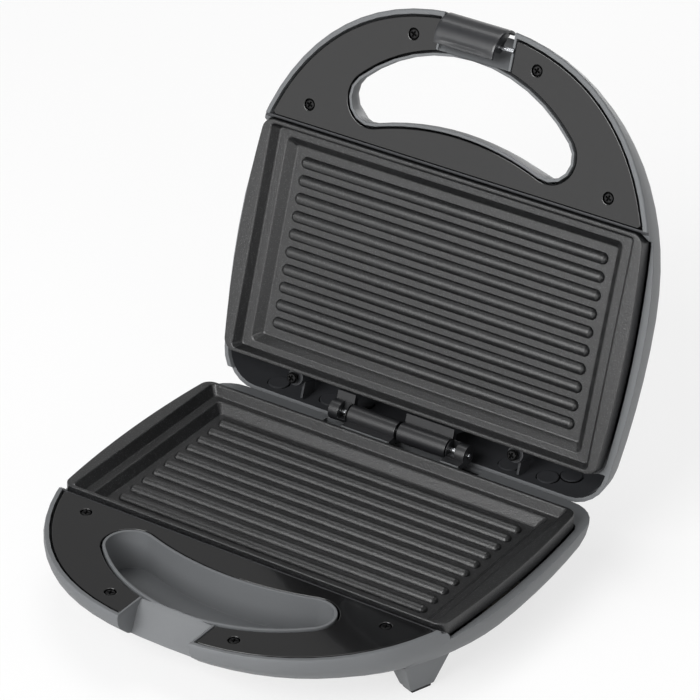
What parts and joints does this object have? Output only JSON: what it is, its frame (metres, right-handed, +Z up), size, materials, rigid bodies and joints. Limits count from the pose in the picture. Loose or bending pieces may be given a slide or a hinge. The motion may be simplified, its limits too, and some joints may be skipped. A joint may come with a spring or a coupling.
{
  "type": "sandwich toaster",
  "caption": "Countertop sandwich toaster: two moulded halves on a rear barrel hinge, each with a ribbed cooking plate and a cut-out hand grip, held shut by a clip at the front.",
  "frame": {"origin": "on the table, under the middle of the part's bounding box with the lid open as pictured", "axes": "+X to the user's right, +Y to the rear (the hinge side), +Z up; the hand grips and the latch are on the -Y side of each half"},
  "size_m": [0.2352, 0.292, 0.2396],
  "materials": {
    "shell_plastic": "fine matt moulded grey",
    "trim_plastic": "polished black",
    "latch_plastic": "smoke grey, satin",
    "coated_plate": "dark non-stick coating with fine flecks",
    "pan_steel": "plain sheet steel",
    "bright_steel": "bright drawn steel",
    "black_steel": "blackened screws",
    "heater_steel": "heat-dulled steel sheath",
    "ceramic": "off-white, unglazed",
    "lead_sleeve": "red heat-proof sleeve",
    "rubber": "soft black",
    "red_lens": "clear red",
    "green_lens": "clear green"
  },
  "bodies": {
    "base": {"base_shell": "shell_plastic", "base_trim": "trim_plastic", "base_trim_screws": "black_steel", "lower_plate": "coated_plate", "lower_heater": "heater_steel", "lower_heat_pan": "pan_steel", "lower_plate_screws": "bright_steel", "thermostat": "ceramic", "thermal_fuse": "ceramic", "terminal_block": "ceramic", "mains_leads": "lead_sleeve", "cord_grommet": "rubber", "cord_clamp": "trim_plastic", "hinge_strap": "bright_steel", "base_post_screws": "black_steel", "foot_pads": "rubber", "hinge_pin": "bright_steel"},
    "lid": {"lid_shell": "shell_plastic", "lid_trim": "trim_plastic", "lid_trim_screws": "black_steel", "upper_plate": "coated_plate", "upper_heater": "heater_steel", "upper_heat_pan": "pan_steel", "upper_plate_screws": "bright_steel", "lid_post_screws": "black_steel", "lid_leads": "lead_sleeve", "power_lens": "red_lens", "ready_lens": "green_lens", "power_lamp": "ceramic", "ready_lamp": "ceramic", "latch_pin": "bright_steel"},
    "latch": {"latch": "latch_plastic"}
  },
  "joints": [
    {"name": "lid_hinge", "type": "hinge", "parent": "base", "child": "lid", "pos_m": [0, 0.06066, 0.0409], "axis": [1, 0, 0], "range_deg": [0, 107.3]},
    {"name": "latch_hinge", "type": "hinge", "parent": "lid", "child": "latch", "pos_m": [0, 0.12084, 0.23111], "axis": [-1, 0, 0], "range_deg": [0, 45]}
  ]
}
